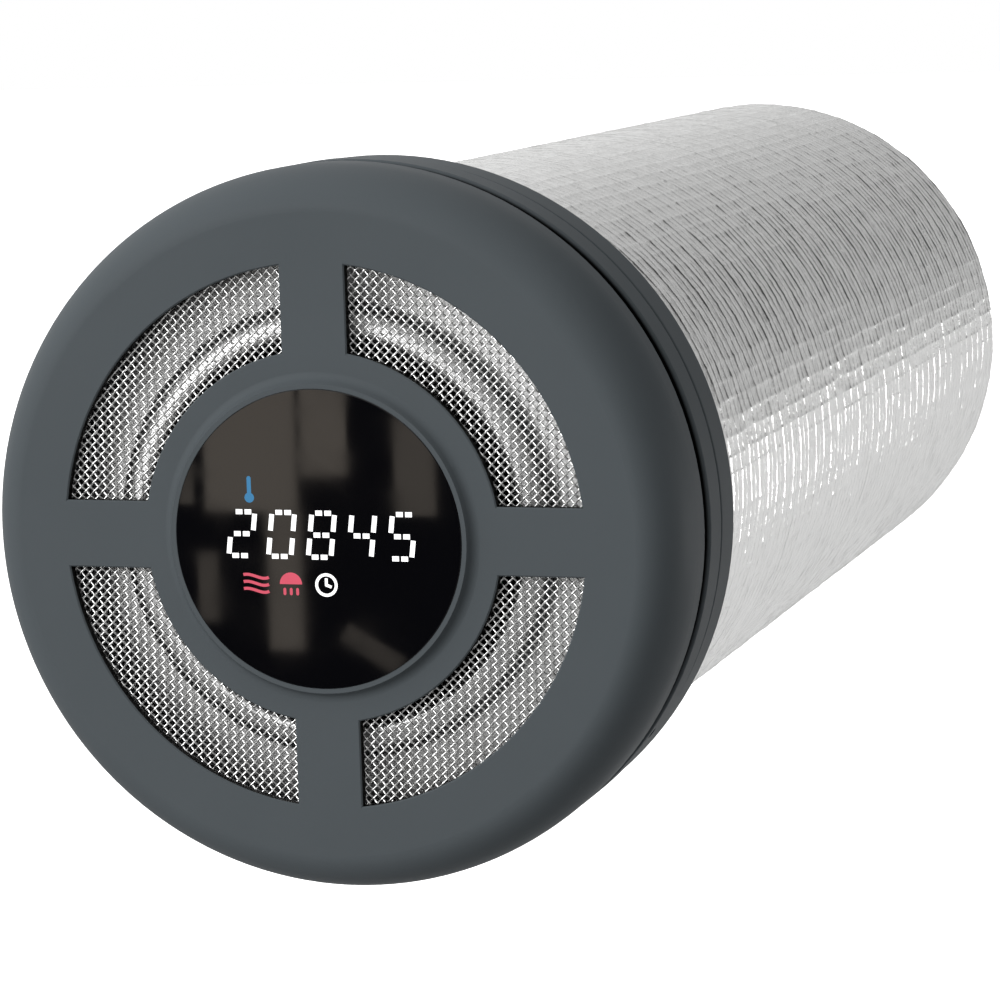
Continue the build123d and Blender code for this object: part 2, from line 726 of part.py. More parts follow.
with BuildPart() as cable_grommet:
    with BuildSketch(CABLE_ENTRY.offset(HOOD_RADIUS - FLANGE_RADIUS)):
        Circle(GROMMET_LIP)
    extrude(amount=FLANGE_RADIUS - HOOD_RADIUS)
    with BuildSketch(CABLE_ENTRY):
        Circle(GROMMET_HOLE)
    extrude(amount=-WALL - GROMMET_INNER)
    with BuildSketch(CABLE_ENTRY.offset(-WALL)):
        Circle(GROMMET_LIP)
    extrude(amount=-GROMMET_INNER)
    # the rim's curve is followed by trimming the lips to the flange's own surfaces
    revolve(wall_section(0, HOOD_RADIUS, FLANGE_FRONT, 0), axis=Axis.Y, mode=Mode.INTERSECT)
    with BuildSketch(CABLE_ENTRY.offset(HOOD_RADIUS - FLANGE_RADIUS)):
        Circle(GROMMET_BORE)
    extrude(amount=-4 * WALL, mode=Mode.SUBTRACT)
    add(wall_flange.part, mode=Mode.SUBTRACT)
save(cable_grommet.part, "cable_grommet")

long_screw = screw(SCREW_HEAD, SCREW_HEAD_HEIGHT, SCREW, TAP_DEPTH)
base_screws = screws_on_circle(long_screw, BASE_SCREW_RADIUS, FLOOR_FRONT, BASE_SCREW_START)
save(base_screws, "base_screws")
flange_screws = screws_on_circle(long_screw, FLANGE_SCREW_RADIUS, FLANGE_FLOOR, FLANGE_SCREW_START)
save(flange_screws, "flange_screws")


# ---------------------------------------------------------------- electronics
def block(size, centre, front_of):
    """Box of (width, height, depth) standing on the plane at front_of."""
    with BuildPart() as body:
        with BuildSketch(across(front_of)):
            with Locations(centre):
                RectangleRounded(size[0], size[1], CASE_CORNER)
        extrude(amount=size[2])
    return body.part


power_module = block(POWER_MODULE, (0, POWER_Z), FLOOR_FRONT)
save(power_module, "power_module")

with BuildPart() as control_board:
    with BuildSketch(across(FLOOR_FRONT - CONTROL_STANDOFF)):
        with Locations((0, CONTROL_Z)):
            Rectangle(*CONTROL_BOARD)
    extrude(amount=BOARD)
save(control_board.part, "control_board")

with BuildPart() as control_chips:
    for size, x in CHIPS:
        add(block(size, (x, CONTROL_Z), FLOOR_FRONT - CONTROL_STANDOFF - BOARD))
save(control_chips.part, "control_chips")

with BuildPart() as terminal_block:
    add(block(TERMINAL_BLOCK, (TERMINAL_X, 0), FLOOR_FRONT))
    with BuildSketch(across(FLOOR_FRONT - TERMINAL_BLOCK[2] + TERMINAL_SCREW_DEPTH)):
        with Locations((TERMINAL_X, 0)):
            with GridLocations(1, TERMINAL_PITCH, 1, TERMINAL_COUNT):
                Circle(SCREW_HEAD + FIT_GAP)
    extrude(amount=TERMINAL_SCREW_DEPTH, mode=Mode.SUBTRACT)
save(terminal_block.part, "terminal_block")

TERMINAL_SCREW_BACK = FLOOR_FRONT - TERMINAL_BLOCK[2] + TERMINAL_SCREW_DEPTH
with BuildPart() as terminal_screws:
    for index in range(TERMINAL_COUNT):
        z = (index - (TERMINAL_COUNT - 1) / 2) * TERMINAL_PITCH
        with BuildSketch(across(TERMINAL_SCREW_BACK)):
            with Locations((TERMINAL_X, z)):
                Circle(SCREW_HEAD)
        extrude(amount=SCREW_HEAD_HEIGHT)
        with BuildSketch(across(TERMINAL_SCREW_BACK - SCREW_HEAD_HEIGHT / 2)):
            with Locations((TERMINAL_X, z)):
                Rectangle(2 * SCREW_HEAD, SCREW_SLOT)
        extrude(amount=SCREW_HEAD_HEIGHT, mode=Mode.SUBTRACT)
save(terminal_screws.part, "terminal_screws")

with BuildPart() as pogo_block:
    with BuildSketch(across(POGO_BACK)):
        with Locations((CONTACT_RADIUS, 0)):
            Rectangle(*POGO_SIZE)
            with GridLocations(1, CONTACT_PITCH, 1, CONTACT_COUNT):
                Circle(PIN_RADIUS, mode=Mode.SUBTRACT)
    extrude(amount=POGO_BACK - POGO_FRONT)
save(pogo_block.part, "pogo_block")

with BuildPart() as pogo_pins:
    with BuildSketch(across(POGO_BACK)):
        with Locations((CONTACT_RADIUS, 0)):
            with GridLocations(1, CONTACT_PITCH, 1, CONTACT_COUNT):
                Circle(PIN_RADIUS)
    extrude(amount=POGO_BACK - PIN_TIP)
save(pogo_pins.part, "pogo_pins")


# ---------------------------------------------------------------- intake bell
with BuildPart() as intake_bell:
    # spun sheet: throat, rolled lip, flat flange and turned-back rim
    with BuildSketch(Plane.XY):
        with BuildLine():
            Line((THROAT, THROAT_SEAM), (THROAT, LIP_CREST + LIP_INNER))
            JernArc((THROAT, LIP_CREST + LIP_INNER), (0, -1), LIP_INNER, 90)
            JernArc((LIP_RADIUS, LIP_CREST), (1, 0), LIP_OUTER, 90)
            Polyline(
                (LIP_RADIUS + LIP_OUTER, BELL_FRONT),
                (BELL_RIM, BELL_FRONT),
                (BELL_RIM, BELL_FRONT + BELL_LIP),
                (BELL_RIM - BELL_SHEET, BELL_FRONT + BELL_LIP),
                (BELL_RIM - BELL_SHEET, BELL_FRONT + BELL_SHEET),
                (LIP_RADIUS + LIP_OUTER - BELL_SHEET, BELL_FRONT + BELL_SHEET),
                (LIP_RADIUS + LIP_OUTER - BELL_SHEET, BELL_FRONT),
            )
            JernArc((LIP_RADIUS + LIP_OUTER - BELL_SHEET, BELL_FRONT), (0, -1), LIP_OUTER - BELL_SHEET, -90)
            JernArc((LIP_RADIUS, LIP_CREST + BELL_SHEET), (-1, 0), LIP_INNER - BELL_SHEET, -90)
            Polyline(
                (THROAT + BELL_SHEET, LIP_CREST + LIP_INNER),
                (THROAT + BELL_SHEET, THROAT_SEAM),
                (THROAT, THROAT_SEAM),
            )
        make_face()
    revolve(axis=Axis.Y)
    with BuildSketch(across(BELL_FRONT + BELL_SHEET)):
        with PolarLocations(BELL_POST_RADIUS, 4, start_angle=BELL_POST_START):
            Circle(SMALL_SCREW + FIT_GAP)
    extrude(amount=BELL_SHEET, mode=Mode.SUBTRACT)
save(intake_bell.part, "intake_bell")

bell_screw = screw(SMALL_HEAD, SMALL_HEAD_HEIGHT, SMALL_SCREW, BELL_SCREW_LENGTH)
bell_screws = screws_on_circle(bell_screw, BELL_POST_RADIUS, BELL_FRONT, BELL_POST_START)
save(bell_screws, "bell_screws")


# ---------------------------------------------------------------- fan, drawn at the room end
with BuildPart() as housing:
    revolve(
        outline_section(
            [
                (THROAT, THROAT_SEAM),
                (THROAT + BELL_SHEET + FIT_GAP, THROAT_SEAM),
                (THROAT + BELL_SHEET + FIT_GAP, SOCKET_FRONT),
                (SOCKET_OUTER, SOCKET_FRONT),
                (SOCKET_OUTER, THROAT_SEAM + WALL),
                (HOUSING_OUTER, THROAT_SEAM + WALL),
                (HOUSING_OUTER, HOUSING_BACK),
                (THROAT, HOUSING_BACK),
            ]
        ),
        axis=Axis.Y,
    )
    with BuildSketch(across(MOTOR_PLATE[1])):
        Circle(CUP_OUTER)
        with PolarLocations((CUP_OUTER + THROAT) / 2, ARM_COUNT, start_angle=CATCH_START):
            Rectangle(THROAT - CUP_OUTER + 2 * WALL, ARM_WIDTH)
    extrude(amount=MOTOR_PLATE[1] - MOTOR_PLATE[0])
    revolve(wall_section(BEARING_OUTER, BEARING_TUBE, BEARING_TUBE_FRONT, MOTOR_PLATE[0]), axis=Axis.Y)
    revolve(
        wall_section(0, BEARING_OUTER, BEARING_TUBE_FRONT, MOTOR_PLATE[0]),
        axis=Axis.Y,
        mode=Mode.SUBTRACT,
    )

with BuildPart() as bearings:
    for back in (BEARING_TUBE_FRONT + BEARING_LENGTH, MOTOR_PLATE[0]):
        revolve(
            wall_section(SHAFT_RADIUS + RUNNING_FIT, BEARING_OUTER, back - BEARING_LENGTH, back),
            axis=Axis.Y,
        )

with BuildPart() as stator:
    revolve(wall_section(BEARING_TUBE + FIT_GAP, STATOR_HUB, *STATOR), axis=Axis.Y)
    with BuildSketch(across(STATOR[1])):
        with PolarLocations((BEARING_TUBE + STATOR_RADIUS) / 2, STATOR_POLES):
            Rectangle(STATOR_RADIUS - BEARING_TUBE - POLE_SHOE, POLE_WIDTH)
        with PolarLocations(STATOR_RADIUS - POLE_SHOE, STATOR_POLES):
            Rectangle(POLE_SHOE, SHOE_WIDTH)
    extrude(amount=STATOR[1] - STATOR[0])

with BuildPart() as magnet_ring:
    revolve(wall_section(MAGNET_RING_INNER, CUP_INNER, *MAGNET_RING), axis=Axis.Y)

with BuildPart() as shaft:
    revolve(wall_section(0, SHAFT_RADIUS, SHAFT_FRONT, SHAFT_BACK), axis=Axis.Y)
    chamfer(shaft.edges().group_by(Axis.Y)[-1], SHAFT_CHAMFER)


def blade_plane(radius):
    """Plane square to the blade's own radius, which points up."""
    return Plane(origin=(0, (BLADE_FRONT + BLADE_BACK) / 2, radius), x_dir=(1, 0, 0), z_dir=(0, 0, 1))


def blade_chord(pitch):
    """Chord that fills the blade's depth at a pitch angle measured from the rotor's plane."""
    return (BLADE_BACK - BLADE_FRONT) / sin(radians(pitch))


with BuildPart() as blade:
    with BuildSketch(blade_plane((CUP_INNER + CUP_OUTER) / 2)):
        Rectangle(blade_chord(ROOT_PITCH) * ROOT_FILL, BLADE_THICKNESS, rotation=ROOT_PITCH)
    with BuildSketch(blade_plane(THROAT)):
        Rectangle(blade_chord(TIP_PITCH) * TIP_FILL, BLADE_THICKNESS, rotation=TIP_PITCH)
    loft()
    revolve(wall_section(0, IMPELLER_RADIUS, BLADE_FRONT, BLADE_BACK), axis=Axis.Y, mode=Mode.INTERSECT)

with BuildPart() as impeller:
    revolve(wall_section(0, CUP_OUTER, CUP_FRONT, CUP_BACK), axis=Axis.Y)
    fillet(impeller.edges().filter_by(GeomType.CIRCLE).group_by(Axis.Y)[0], CUP_FILLET)
    for index in range(BLADE_COUNT):
        add(blade.part.rotate(Axis.Y, 360 * index / BLADE_COUNT))
    revolve(wall_section(0, CUP_INNER, CUP_FRONT + CUP_WALL, CUP_BACK), axis=Axis.Y, mode=Mode.SUBTRACT)
    revolve(wall_section(0, SHAFT_BOSS, CUP_FRONT + CUP_WALL, BOSS_BACK), axis=Axis.Y)
    revolve(wall_section(0, SHAFT_RADIUS, SHAFT_FRONT, BOSS_BACK), axis=Axis.Y, mode=Mode.SUBTRACT)

FAN_PIECES = {
    "fan_housing": housing,
    "fan_bearings": bearings,
    "fan_stator": stator,
    "fan_magnet_ring": magnet_ring,
    "fan_shaft": shaft,
    "fan_impeller": impeller,
}
for fan, place in {"exhaust": ROOM_END, "supply": OUTDOOR_END}.items():
    for piece_name, piece in FAN_PIECES.items():
        with BuildPart() as placed:
            with Locations(place):
                add(piece.part)
        save(placed.part, f"{fan}_{piece_name}")


# ---------------------------------------------------------------- heat exchanger
def end_plate(depth, inner_start, outer_start):
    """Disc with alternating ports: every other channel opens near the axis, the rest at the rim."""
    spread = tan(radians(PORT_HALF_ANGLE))
    step = 360 / CHANNELS
    with BuildPart() as plate:
        with BuildSketch(across(depth + END_PLATE)):
            Circle(PIPE_INNER - FIT_GAP)
            for (near, far), start in ((INNER_PORT, inner_start), (OUTER_PORT, outer_start)):
                for index in range(CHANNELS // 2):
                    with Locations(Location((0, 0, 0), (0, 0, start + 2 * step * index))):
                        Polygon(
                            (near, -near * spread),
                            (far, -far * spread),
                            (far, far * spread),
                            (near, near * spread),
                            align=None,
                            mode=Mode.SUBTRACT,
                        )
        extrude(amount=END_PLATE)
    return plate.part


HALF_STEP = 180 / CHANNELS
save(end_plate(EXCHANGER_START, HALF_STEP, 3 * HALF_STEP), "exchanger_end_room")
save(end_plate(EXCHANGER_END - END_PLATE, 3 * HALF_STEP, HALF_STEP), "exchanger_end_outdoor")

FIN_START = EXCHANGER_START + END_PLATE
FIN_END = EXCHANGER_END - END_PLATE
with BuildPart() as exchanger_core:
    revolve(wall_section(CORE_INNER, CORE_OUTER, FIN_START, FIN_END), axis=Axis.Y)
save(exchanger_core.part, "exchanger_core")

with BuildPart() as exchanger_fins:
    with BuildSketch(across(FIN_END)):
        with PolarLocations((CORE_OUTER + PIPE_INNER) / 2, CHANNELS):
            Rectangle(PIPE_INNER - CORE_OUTER - 2 * FIT_GAP, FIN_THICKNESS)
    extrude(amount=FIN_END - FIN_START)
save(exchanger_fins.part, "exchanger_fins")

with BuildPart() as heater_rod:
    with BuildSketch(Plane.XY):
        with Locations((HEATER_RADIUS, HEATER_DEPTH)):
            Circle(HEATER_ROD)
    revolve(axis=Axis.Y)
    with BuildSketch(across(HEATER_DEPTH + HEATER_STRAP / 2)):
        with PolarLocations((HEATER_RADIUS + FLOOR_INNER - FIT_GAP) / 2, 4, start_angle=CATCH_START):
            Rectangle(FLOOR_INNER - HEATER_RADIUS - FIT_GAP, HEATER_STRAP)
    extrude(amount=HEATER_STRAP)
save(heater_rod.part, "heater_rod")


# ---------------------------------------------------------------- duct
with BuildPart() as inner_pipe:
    revolve(wall_section(PIPE_INNER, PIPE_OUTER, 0, DUCT_LENGTH - COLLAR_LENGTH), axis=Axis.Y)
save(inner_pipe.part, "inner_pipe")

with BuildPart() as front_collar:
    revolve(wall_section(PIPE_OUTER, SLEEVE_RADIUS, 0, COLLAR_LENGTH), axis=Axis.Y)
    with BuildSketch(across(COLLAR_LENGTH)):
        with PolarLocations(FLANGE_SCREW_RADIUS, 4, start_angle=FLANGE_SCREW_START):
            Circle(SCREW + RUNNING_FIT)
    extrude(amount=COLLAR_LENGTH, mode=Mode.SUBTRACT)
save(front_collar.part, "front_collar")

with BuildPart() as insulation_sleeve:
    revolve(
        wall_section(PIPE_OUTER, SLEEVE_RADIUS, COLLAR_LENGTH, DUCT_LENGTH - COLLAR_LENGTH),
        axis=Axis.Y,
    )
save(insulation_sleeve.part, "insulation_sleeve")

with BuildPart() as foil_jacket:
    revolve(wall_section(SLEEVE_RADIUS, DUCT_RADIUS, 0, DUCT_LENGTH), axis=Axis.Y)
save(foil_jacket.part, "foil_jacket")

with BuildPart() as seam_tape:
    revolve(
        wall_section(DUCT_RADIUS, DUCT_RADIUS + TAPE_THICKNESS, 0, DUCT_LENGTH),
        axis=Axis.Y,
        revolution_arc=degrees(TAPE_WIDTH / DUCT_RADIUS),
    )
save(seam_tape.part.rotate(Axis.Y, -TAPE_START), "seam_tape")

with BuildPart() as rear_collar:
    revolve(
        outline_section(
            [
                (LEDGE_INNER, GUARD_FRONT - GUARD_LEDGE),
                (SLEEVE_RADIUS, GUARD_FRONT - GUARD_LEDGE),
                (SLEEVE_RADIUS, DUCT_LENGTH),
                (PIPE_INNER, DUCT_LENGTH),
                (PIPE_INNER, GUARD_FRONT),
                (LEDGE_INNER, GUARD_FRONT),
            ]
        ),
        axis=Axis.Y,
    )
    with BuildSketch(across(GUARD_FRONT)):
        with PolarLocations(GUARD_SCREW_RADIUS, 4, start_angle=CATCH_START):
            Circle(SMALL_SCREW)
    extrude(amount=GUARD_LEDGE, mode=Mode.SUBTRACT)
save(rear_collar.part, "rear_collar")

with BuildPart() as outdoor_guard:
    with BuildSketch(across(GUARD_FRONT + GUARD_THICKNESS)):
        Circle(LEDGE_INNER)
        add(lattice(LEDGE_INNER, GUARD_PITCH, GUARD_BAR, 0), mode=Mode.SUBTRACT)
        with BuildSketch(mode=Mode.ADD):
            Circle(PIPE_INNER - FIT_GAP)
            Circle(LEDGE_INNER, mode=Mode.SUBTRACT)
        with PolarLocations(GUARD_SCREW_RADIUS, 4, start_angle=CATCH_START):
            Circle(SMALL_SCREW + FIT_GAP, mode=Mode.SUBTRACT)
    extrude(amount=GUARD_THICKNESS)
save(outdoor_guard.part, "outdoor_guard")

guard_screw = screw(SMALL_HEAD, SMALL_HEAD_HEIGHT, SMALL_SCREW, GUARD_THICKNESS + GUARD_LEDGE)
turned_guard_screw = guard_screw.rotate(Axis.Z, 180)
guard_screws = screws_on_circle(
    turned_guard_screw, GUARD_SCREW_RADIUS, GUARD_FRONT + GUARD_THICKNESS, CATCH_START
)
save(guard_screws, "guard_screws")

SUPPLY_SOCKET = EXCHANGER_START + EXCHANGER_END - THROAT_SEAM
SUPPLY_BEND = SUPPLY_SOCKET + SUPPLY_BELL_ARC
SUPPLY_MOUTH = SUPPLY_BEND + SUPPLY_BELL_ARC
SUPPLY_RIM = THROAT + SUPPLY_BELL_ARC
with BuildPart() as supply_bell:
    with BuildSketch(Plane.XY):
        with BuildLine():
            Line((THROAT, SUPPLY_SOCKET), (THROAT, SUPPLY_BEND))
            JernArc((THROAT, SUPPLY_BEND), (0, 1), SUPPLY_BELL_ARC, -90)
            Line((SUPPLY_RIM, SUPPLY_MOUTH), (SUPPLY_RIM, SUPPLY_MOUTH - BELL_SHEET))
            JernArc(
                (SUPPLY_RIM, SUPPLY_MOUTH - BELL_SHEET),
                (-1, 0),
                SUPPLY_BELL_ARC - BELL_SHEET,
                90,
            )
            Polyline(
                (THROAT + BELL_SHEET, SUPPLY_BEND),
                (THROAT + BELL_SHEET, SUPPLY_SOCKET),
                (THROAT, SUPPLY_SOCKET),
            )
        make_face()
    revolve(axis=Axis.Y)
save(supply_bell.part, "supply_bell")
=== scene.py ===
import json
import math

import bpy
import numpy as np
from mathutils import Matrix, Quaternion, Vector


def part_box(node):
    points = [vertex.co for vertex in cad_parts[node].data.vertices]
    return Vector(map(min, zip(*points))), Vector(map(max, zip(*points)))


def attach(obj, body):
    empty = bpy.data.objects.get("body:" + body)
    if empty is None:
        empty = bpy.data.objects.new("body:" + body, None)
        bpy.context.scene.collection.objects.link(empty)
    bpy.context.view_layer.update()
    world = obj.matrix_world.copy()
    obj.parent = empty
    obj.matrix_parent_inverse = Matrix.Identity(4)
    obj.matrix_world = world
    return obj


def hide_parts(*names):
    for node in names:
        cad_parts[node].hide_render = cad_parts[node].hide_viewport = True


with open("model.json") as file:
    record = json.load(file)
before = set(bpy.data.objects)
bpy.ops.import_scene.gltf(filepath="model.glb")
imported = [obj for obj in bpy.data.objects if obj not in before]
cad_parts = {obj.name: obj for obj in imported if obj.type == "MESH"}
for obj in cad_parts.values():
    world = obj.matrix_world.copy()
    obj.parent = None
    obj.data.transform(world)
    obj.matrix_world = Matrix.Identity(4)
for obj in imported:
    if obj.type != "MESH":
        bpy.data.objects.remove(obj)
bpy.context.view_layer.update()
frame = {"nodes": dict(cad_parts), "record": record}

# Through-wall heat-recovery ventilator. The room hood faces -Y, the duct runs along +Y, and +Z is
# up. Everything is in metres unless a name or a comment says millimetres.
MM = 0.001

# ---------------------------------------------------------------- sizes of the detailed pieces, mm
FOIL_RADIUS = 99.95
FOIL_LINING = 99.82
FOIL_LENGTH = 490.0
THREAD_ROUNDS = 84
THREAD_LENGTHS = 109
FOIL_TUBES = 4
RIDGE_OFFSETS = (-0.34, -0.15, -0.07, 0.0, 0.07, 0.15)
LENGTH_OFFSETS = (-0.3, -0.1, 0.0, 0.1, 0.3)
RIDGE_HEIGHT = 0.28
RIDGE_WIDTH = 0.42
LENGTH_RIDGE_HEIGHT = 0.18
PUCKER = 0.2
CRINKLE = 0.08

TAPE_ANGLES = (177.5, 205.0)
TAPE_UNDERSIDE = 99.9
TAPE_LIFT = 0.3
TAPE_FOLLOW = 0.6

WIRE = 0.66
WIRE_WAVE = 0.22
WEAVE_PITCH = 1.95
WEAVE_STEPS = 4
WIRE_SIDES = 6
WEAVE_INNER = 50.5
WEAVE_OUTER = 88.6

# radii and depths, in mm, where shade is painted near black into the hood's plastic: window walls, slot and
# seam
WINDOW_SHADE_RADIUS = 82.0
WINDOW_SHADE_DEPTH = -65.6
GROOVE_SHADE_RADIUS = 107.6
GROOVE_SHADE_FRONT = -46.0
GROOVE_SHADE_BACK = -13.4
DEEP_SHADE = (0.002, 0.002, 0.002, 1.0)


# ---------------------------------------------------------------- node trees
class Tree:
    """Short calls for building a node tree. A socket takes a number, a colour or another node's output."""

    def __init__(self, owner):
        owner.use_nodes = True
        self.nodes = owner.node_tree.nodes
        self.links = owner.node_tree.links

    def put(self, socket, value):
        if isinstance(value, bpy.types.NodeSocket):
            self.links.new(value, socket)
        elif value is not None:
            socket.default_value = value

    def add(self, kind, inputs, **settings):
        node = self.nodes.new(kind)
        for name, value in settings.items():
            setattr(node, name, value)
        for key, value in inputs.items():
            self.put(node.inputs[key], value)
        return node

    def position(self):
        """The point on the object where it stands at rest, in millimetres."""
        place = self.add("ShaderNodeTexCoord", {})
        scaled = self.add("ShaderNodeVectorMath", {
            0: place.outputs["Object"], 1: (1.0 / MM,) * 3,
        }, operation="MULTIPLY")
        return scaled.outputs[0]

    def turned(self, around=1.0, outwards=1.0, along=1.0):
        """Position as (arc at 100 mm radius, depth, radius), each with its own stretch, in millimetres."""
        parts = self.add("ShaderNodeSeparateXYZ", {0: self.position()})
        x, y, z = parts.outputs
        angle = self.maths("ARCTAN2", z, x)
        square = self.maths("ADD", self.maths("MULTIPLY", x, x), self.maths("MULTIPLY", z, z))
        length = self.maths("SQRT", square)
        joined = self.add("ShaderNodeCombineXYZ", {
            0: self.maths("MULTIPLY", angle, 100.0 * around),
            1: self.maths("MULTIPLY", y, along),
            2: self.maths("MULTIPLY", length, outwards),
        })
        return joined.outputs[0]

    def maths(self, operation, first, second=None, third=None):
        inputs = {0: first}
        if second is not None:
            inputs[1] = second
        if third is not None:
            inputs[2] = third
        return self.add("ShaderNodeMath", inputs, operation=operation).outputs[0]

    def noise(self, vector, size, detail=2.0, roughness=0.5, distortion=0.0):
        """Noise from 0 to 1 whose features are about size millimetres across."""
        node = self.add("ShaderNodeTexNoise", {
            "Vector": vector, "Scale": 1.0 / size, "Detail": detail,
            "Roughness": roughness, "Distortion": distortion,
        })
        return node.outputs["Fac"]

    def cells(self, vector, size):
        """Distance to the nearest of scattered points that are about size millimetres apart."""
        node = self.add("ShaderNodeTexVoronoi", {"Vector": vector, "Scale": 1.0 / size}, feature="F1")
        return node.outputs["Distance"]

    def span(self, value, low, high, to_low=0.0, to_high=1.0):
        """Maps value from low..high to to_low..to_high, with both ends held."""
        node = self.add("ShaderNodeMapRange", {
            "Value": value, "From Min": low, "From Max": high, "To Min": to_low, "To Max": to_high,
        })
        return node.outputs["Result"]

    def blend(self, factor, first, second, mode="MIX"):
        node = self.add("ShaderNodeMix", {0: factor}, data_type="RGBA", blend_type=mode)
        self.put(node.inputs[6], first)
        self.put(node.inputs[7], second)
        return node.outputs[2]

    def bump(self, height, distance, normal=None):
        """Bump from a 0 to 1 height that stands distance millimetres high."""
        node = self.add("ShaderNodeBump", {"Height": height, "Distance": distance * MM})
        if normal is not None:
            self.put(node.inputs["Normal"], normal)
        return node.outputs["Normal"]


def shade(colour, factor):
    return tuple(min(1.0, part * factor) for part in colour[:3]) + (1.0,)


def new_material(name):
    """A new material, its tree and its Principled shader."""
    material = bpy.data.materials.new(name)
    tree = Tree(material)
    return material, tree, tree.nodes["Principled BSDF"]


# ---------------------------------------------------------------- materials
def groove_shade(tree, colour):
    """Painted shade: colours the hood's plastic near black on the walls of its windows and grooves, where
    they stay in shade, and on all of it within those radii and depths.
    """
    radius = tree.add("ShaderNodeSeparateXYZ", {0: tree.turned()}).outputs[2]
    depth = tree.add("ShaderNodeSeparateXYZ", {0: tree.position()}).outputs[1]
    windows = tree.maths(
        "MULTIPLY",
        tree.span(radius, WINDOW_SHADE_RADIUS, WINDOW_SHADE_RADIUS + 1.0, 1.0, 0.0),
        tree.span(depth, WINDOW_SHADE_DEPTH, WINDOW_SHADE_DEPTH + 0.1),
    )
    grooves = tree.maths(
        "MULTIPLY",
        tree.span(radius, GROOVE_SHADE_RADIUS, GROOVE_SHADE_RADIUS + 0.7, 1.0, 0.0),
        tree.span(depth, GROOVE_SHADE_FRONT, GROOVE_SHADE_FRONT + 0.5),
    )
    wallwards = tree.span(depth, GROOVE_SHADE_BACK, GROOVE_SHADE_BACK + 0.8, 1.0, 0.0)
    grooves = tree.maths("MULTIPLY", grooves, wallwards)
    return tree.blend(tree.maths("MAXIMUM", windows, grooves), colour, DEEP_SHADE)


def moulded_plastic(name, colour, roughness, grain, depth, fleck=0.04, gloss=0.5, painted_groove_shade=False):
    """Injection-moulded plastic: a spark-eroded grain, slight flow marks and uneven gloss, and painted
    shade on the hood's window walls and grooves when painted_groove_shade is set.
    """
    material, tree, shader = new_material(name)
    place = tree.position()
    flow = tree.noise(place, 38.0, detail=3.0, distortion=0.4)
    speck = tree.noise(place, grain * 0.8, detail=2.0)
    tone = tree.maths("ADD", tree.maths("MULTIPLY", flow, 0.6), tree.maths("MULTIPLY", speck, 0.4))
    paint = tree.blend(tone, shade(colour, 1.0 - 2 * fleck), shade(colour, 1.0 + 2 * fleck))
    # painted shade: the walls of the hood's windows, slot and seam are coloured near black
    tree.put(shader.inputs["Base Color"], groove_shade(tree, paint) if painted_groove_shade else paint)
    shader.inputs["Specular IOR Level"].default_value = gloss
    tree.put(shader.inputs["Roughness"], tree.span(tone, 0.3, 0.7, roughness - 0.05, roughness + 0.06))
    tree.put(shader.inputs["Normal"], tree.bump(tree.noise(place, grain, detail=3.0), depth))
    return material


def plated_metal(name, colour, roughness, grain, depth):
    """Drawn, ground or plated metal with fine random marks and a little tarnish."""
    material, tree, shader = new_material(name)
    place = tree.position()
    tarnish = tree.noise(place, 6.0, detail=4.0)
    marks = tree.noise(place, grain, detail=4.0, roughness=0.6)
    tree.put(shader.inputs["Base Color"], tree.blend(tarnish, shade(colour, 0.86), shade(colour, 1.08)))
    tree.put(shader.inputs["Roughness"], tree.span(marks, 0.3, 0.7, roughness * 0.75, roughness * 1.3))
    tree.put(shader.inputs["Normal"], tree.bump(marks, depth))
    shader.inputs["Metallic"].default_value = 1.0
    return material


def turned_metal(name, colour, roughness, line, depth, anisotropy=0.6):
    """Spun or turned metal: fine rings round the duct's axis, which spread its highlights outwards."""
    material, tree, shader = new_material(name)
    rings = tree.noise(tree.turned(around=0.02, outwards=1.0, along=1.0), line, detail=3.0, roughness=0.6)
    cloud = tree.noise(tree.position(), 14.0, detail=3.0)
    tree.put(shader.inputs["Base Color"], tree.blend(cloud, shade(colour, 0.93), shade(colour, 1.04)))
    tree.put(shader.inputs["Roughness"], tree.span(rings, 0.3, 0.7, roughness * 0.8, roughness * 1.25))
    tree.put(shader.inputs["Normal"], tree.bump(rings, depth))
    tangent = tree.add("ShaderNodeTangent", {}, direction_type="RADIAL", axis="Y")
    tree.put(shader.inputs["Tangent"], tangent.outputs[0])
    shader.inputs["Metallic"].default_value = 1.0
    shader.inputs["Anisotropic"].default_value = anisotropy
    return material


def cell_foam(name, colour, cell, depth):
    """Closed-cell foam or foam rubber with small open bubbles on its cut face, coloured darker in the
    bubble pits as painted shade.
    """
    material, tree, shader = new_material(name)
    place = tree.position()
    bubbles = tree.span(tree.cells(place, cell), 0.15, 0.6)
    # painted shade: the colour is darker in the bubble pits and lighter on the walls between them
    tree.put(shader.inputs["Base Color"], tree.blend(bubbles, shade(colour, 0.55), shade(colour, 1.15)))
    tree.put(shader.inputs["Normal"], tree.bump(bubbles, depth))
    shader.inputs["Roughness"].default_value = 0.85
    return material


def circuit_board(name, colour):
    """Solder mask over copper tracks."""
    material, tree, shader = new_material(name)
    place = tree.position()
    track = tree.add("ShaderNodeTexBrick", {
        "Vector": place, "Scale": 0.35, "Mortar Size": 0.06, "Brick Width": 1.6, "Row Height": 0.5,
        "Color1": (0.0, 0.0, 0.0, 1.0), "Color2": (0.15, 0.15, 0.15, 1.0), "Mortar": (1.0, 1.0, 1.0, 1.0),
    })
    paint = tree.blend(track.outputs["Color"], shade(colour, 0.8), shade(colour, 2.4))
    tree.put(shader.inputs["Base Color"], paint)
    tree.put(shader.inputs["Roughness"], tree.span(tree.noise(place, 2.0), 0.3, 0.7, 0.25, 0.4))
    tree.put(shader.inputs["Normal"], tree.bump(track.outputs["Color"], 0.03))
    return material


